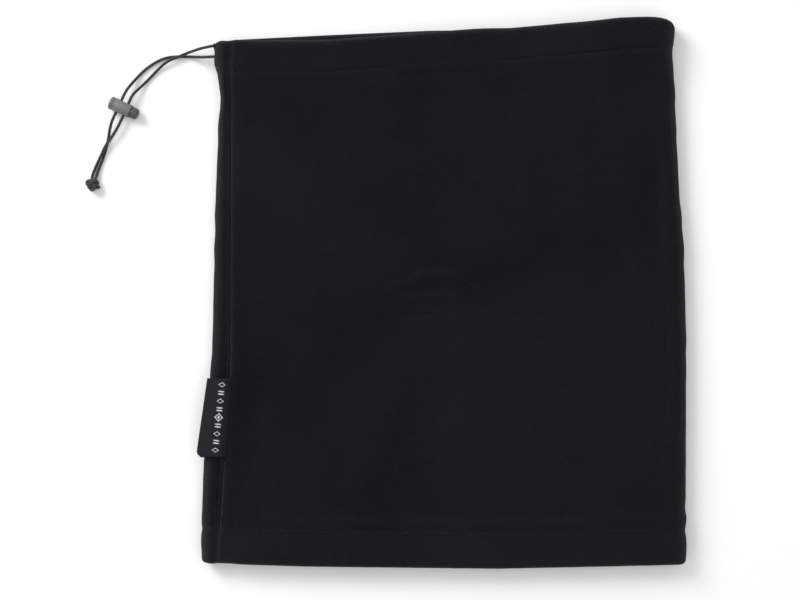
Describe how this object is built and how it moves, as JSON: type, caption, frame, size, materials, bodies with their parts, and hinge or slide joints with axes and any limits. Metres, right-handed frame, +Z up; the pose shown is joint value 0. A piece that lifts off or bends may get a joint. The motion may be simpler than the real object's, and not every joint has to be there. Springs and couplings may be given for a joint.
{
  "type": "neck gaiter",
  "caption": "Fleece neck gaiter lying flat, with a drawcord in its top casing, a spring cord lock, an end knot and a woven side label",
  "frame": {"origin": "on the surface it lies on, under the middle of the gaiter without its drawcord tails and cord lock", "axes": "+X across the tube from the side with the seam and the label to the plain fold, +Y from the bottom hem to the top casing, +Z up from the surface, through the front"},
  "size_m": [0.3099, 0.2818, 0.0151],
  "materials": {
    "fleece": "black polyester fleece, short dense brushed pile, matt",
    "thread": "black polyester sewing thread",
    "drawcord": "dark grey braided elastic cord, slightly shiny",
    "lock_barrel": "mid grey moulded acetal, satin",
    "lock_plunger": "dark grey moulded acetal, satin",
    "spring_wire": "bright spring steel wire",
    "label": "dark grey woven satin label tape",
    "label_motif": "off-white woven thread"
  },
  "bodies": {
    "gaiter": {"fleece_tube": "fleece", "cord_casing": "fleece", "bottom_hem": "fleece", "seam_allowance": "fleece", "side_seam_stitches": "thread", "overlock_thread": "thread", "casing_stitches": "thread", "hem_stitches": "thread", "cord_exit_bartacks": "thread", "drawcord_in_casing": "drawcord", "drawcord_tail_upper": "drawcord", "drawcord_tail_lower": "drawcord", "cord_end_knot": "drawcord"},
    "cord_lock": {"cord_lock_barrel": "lock_barrel", "cord_lock_spring": "spring_wire"},
    "plunger": {"cord_lock_plunger": "lock_plunger"},
    "label": {"woven_label": "label", "label_motif": "label_motif"}
  },
  "joints": [
    {"name": "lock_slide", "type": "slide", "parent": "gaiter", "child": "cord_lock", "axis": [0.4235, 0.9059, 0], "range_m": [-0.0045, 0.0045]},
    {"name": "plunger_press", "type": "slide", "parent": "cord_lock", "child": "plunger", "axis": [-0.9063, 0.4226, 0], "range_m": [0, 0.0014], "stiffness_N_per_m": 300, "springref_m": -0.004, "deforming": ["cord_lock_spring"]},
    {"name": "label_flip", "type": "hinge", "parent": "gaiter", "child": "label", "pos_m": [-0.1092, -0.0437, 0.00995], "axis": [0.0761, 0.9971, 0], "range_deg": [0, 165]}
  ]
}
